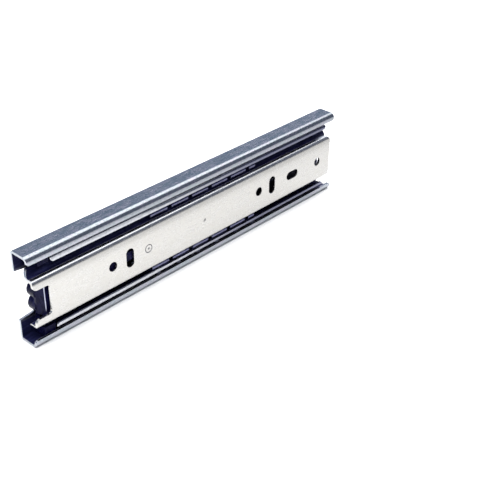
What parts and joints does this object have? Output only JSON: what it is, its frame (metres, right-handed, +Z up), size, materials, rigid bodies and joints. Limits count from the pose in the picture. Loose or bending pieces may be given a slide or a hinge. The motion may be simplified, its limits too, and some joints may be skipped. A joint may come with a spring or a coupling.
{
  "type": "drawer slide",
  "caption": "Side-mount ball-bearing drawer slide, full extension, in zinc-plated roll-formed steel: nested channels run out on caged steel balls, with a rear bumper and a release lever.",
  "frame": {"origin": "middle of the cabinet mounting face: mid-length, mid-height, on the plane that lies against the cabinet side", "axes": "+X the way the drawer comes out (front), +Y out of the cabinet mounting face towards the cabinet side, +Z up"},
  "size_m": [0.2, 0.0127, 0.045],
  "materials": {
    "cabinet_zinc": "bright zinc plate, cold-rolled strip",
    "intermediate_zinc": "bright zinc plate, cold-rolled strip",
    "drawer_zinc": "bright zinc plate, cold-rolled strip",
    "cage_steel": "thin pressed steel",
    "ball_steel": "polished hardened steel",
    "rivet_steel": "zinc plated, swaged",
    "bumper_plastic": "glossy moulded acetal, blue-black",
    "lever_plastic": "moulded acetal"
  },
  "bodies": {
    "cabinet": {"cabinet_member": "cabinet_zinc", "rear_bumper": "bumper_plastic"},
    "outer_cage": {"outer_ball_cage": "cage_steel", "outer_ball_top_1": "ball_steel", "outer_ball_top_2": "ball_steel", "outer_ball_top_3": "ball_steel", "outer_ball_top_4": "ball_steel", "outer_ball_top_5": "ball_steel", "outer_ball_top_6": "ball_steel", "outer_ball_bottom_1": "ball_steel", "outer_ball_bottom_2": "ball_steel", "outer_ball_bottom_3": "ball_steel", "outer_ball_bottom_4": "ball_steel", "outer_ball_bottom_5": "ball_steel", "outer_ball_bottom_6": "ball_steel"},
    "intermediate": {"intermediate_member": "intermediate_zinc"},
    "inner_cage": {"inner_ball_cage": "cage_steel", "inner_ball_top_1": "ball_steel", "inner_ball_top_2": "ball_steel", "inner_ball_top_3": "ball_steel", "inner_ball_top_4": "ball_steel", "inner_ball_top_5": "ball_steel", "inner_ball_bottom_1": "ball_steel", "inner_ball_bottom_2": "ball_steel", "inner_ball_bottom_3": "ball_steel", "inner_ball_bottom_4": "ball_steel", "inner_ball_bottom_5": "ball_steel"},
    "drawer": {"drawer_member": "drawer_zinc", "lever_rivet": "rivet_steel"},
    "lever": {"release_lever": "lever_plastic"}
  },
  "joints": [
    {"name": "intermediate_slide", "type": "slide", "parent": "cabinet", "child": "intermediate", "axis": [1, 0, 0], "range_m": [0, 0.104]},
    {"name": "outer_cage_roll", "type": "slide", "parent": "cabinet", "child": "outer_cage", "axis": [1, 0, 0], "range_m": [0, 0.052]},
    {"name": "drawer_slide", "type": "slide", "parent": "intermediate", "child": "drawer", "axis": [1, 0, 0], "range_m": [0, 0.096]},
    {"name": "inner_cage_roll", "type": "slide", "parent": "intermediate", "child": "inner_cage", "axis": [1, 0, 0], "range_m": [0, 0.048]},
    {"name": "lever_release", "type": "hinge", "parent": "drawer", "child": "lever", "pos_m": [-0.0365, -0.01, 0], "axis": [0, -1, 0], "range_deg": [0, 8], "stiffness_Nm_per_rad": 0.02}
  ],
  "couplings": [
    {"joint": "outer_cage_roll", "follows": "intermediate_slide", "ratio": 0.5},
    {"joint": "inner_cage_roll", "follows": "drawer_slide", "ratio": 0.5}
  ]
}
